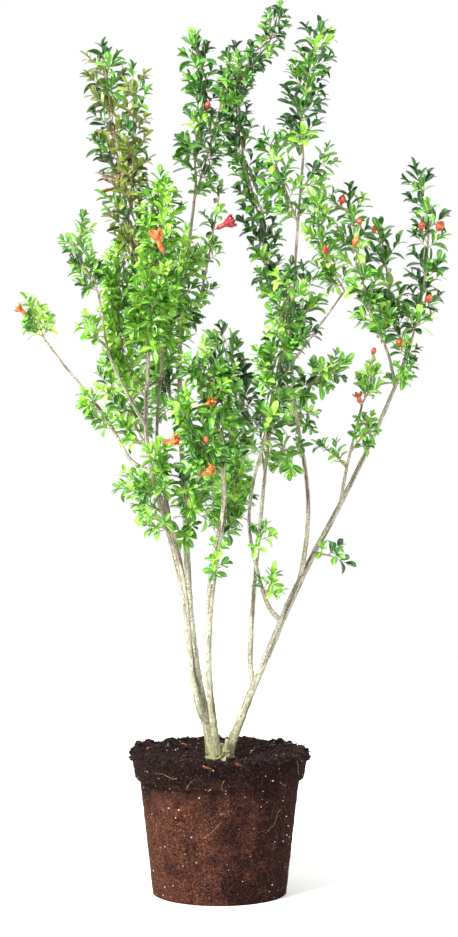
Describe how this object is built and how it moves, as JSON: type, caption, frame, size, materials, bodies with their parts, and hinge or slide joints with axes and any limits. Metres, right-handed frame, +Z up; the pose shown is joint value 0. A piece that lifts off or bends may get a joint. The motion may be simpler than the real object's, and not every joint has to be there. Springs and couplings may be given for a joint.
{
  "type": "pomegranate tree on its root ball",
  "caption": "Young pomegranate tree: slim upright stems from one root crown, airy leafy shoots with orange-red blossom and buds, on a bare tapered root ball.",
  "frame": {"origin": "centre of the root ball's flat underside", "axes": "+Z up along the plant's height; -Y is the side that faces the viewer in the picture; +X to the viewer's right"},
  "size_m": [0.693, 0.4157, 1.3934],
  "materials": {
    "root_ball": "matte",
    "bark": "matte",
    "foliage_mid": "satin",
    "foliage_deep": "satin",
    "foliage_lime": "satin",
    "foliage_bronze": "satin"
  },
  "bodies": {
    "root": {"back_column": "foliage_deep", "back_low": "foliage_mid", "back_mid": "foliage_mid", "back_stem": "bark", "centre_bottom": "foliage_mid", "centre_column": "foliage_mid", "centre_front": "foliage_mid", "centre_low": "foliage_mid", "centre_low_back": "foliage_mid", "centre_low_front": "foliage_mid", "centre_right": "foliage_mid", "centre_right_low": "foliage_mid", "centre_spire": "foliage_deep", "centre_stem": "bark", "centre_tuft": "foliage_mid", "cross_stem": "bark", "cross_tuft": "foliage_mid", "far_left": "foliage_mid", "far_left_bough": "bark", "far_left_low": "foliage_mid", "inner_back": "foliage_mid", "inner_front": "foliage_lime", "left_back": "foliage_mid", "left_back_spire": "foliage_deep", "left_bough": "bark", "left_fringe": "foliage_mid", "left_front": "foliage_lime", "left_inner_stem": "bark", "left_low": "foliage_mid", "left_low_back": "foliage_mid", "left_low_front": "foliage_lime", "left_mid": "foliage_mid", "left_outer": "foliage_mid", "left_outer_stem": "bark", "left_spire": "foliage_bronze", "left_spire_side": "foliage_bronze", "left_stem": "bark", "left_tuft": "foliage_mid", "low_tuft": "foliage_lime", "olive_shoot": "foliage_lime", "right_high_bough": "bark", "right_inner_bough": "bark", "right_low": "foliage_mid", "right_low_back": "foliage_mid", "right_low_bough": "bark", "right_low_front": "foliage_mid", "right_low_twigs": "foliage_deep", "right_side": "foliage_mid", "right_spire": "foliage_deep", "right_stem": "bark", "right_top": "foliage_mid", "right_top_back": "foliage_deep", "root_ball": "root_ball", "root_crown": "bark", "tall_low": "foliage_mid", "tall_right": "foliage_mid", "tall_side": "foliage_mid", "tall_spire": "foliage_deep", "tall_stem": "bark", "top_spire": "foliage_mid"}
  },
  "joints": []
}
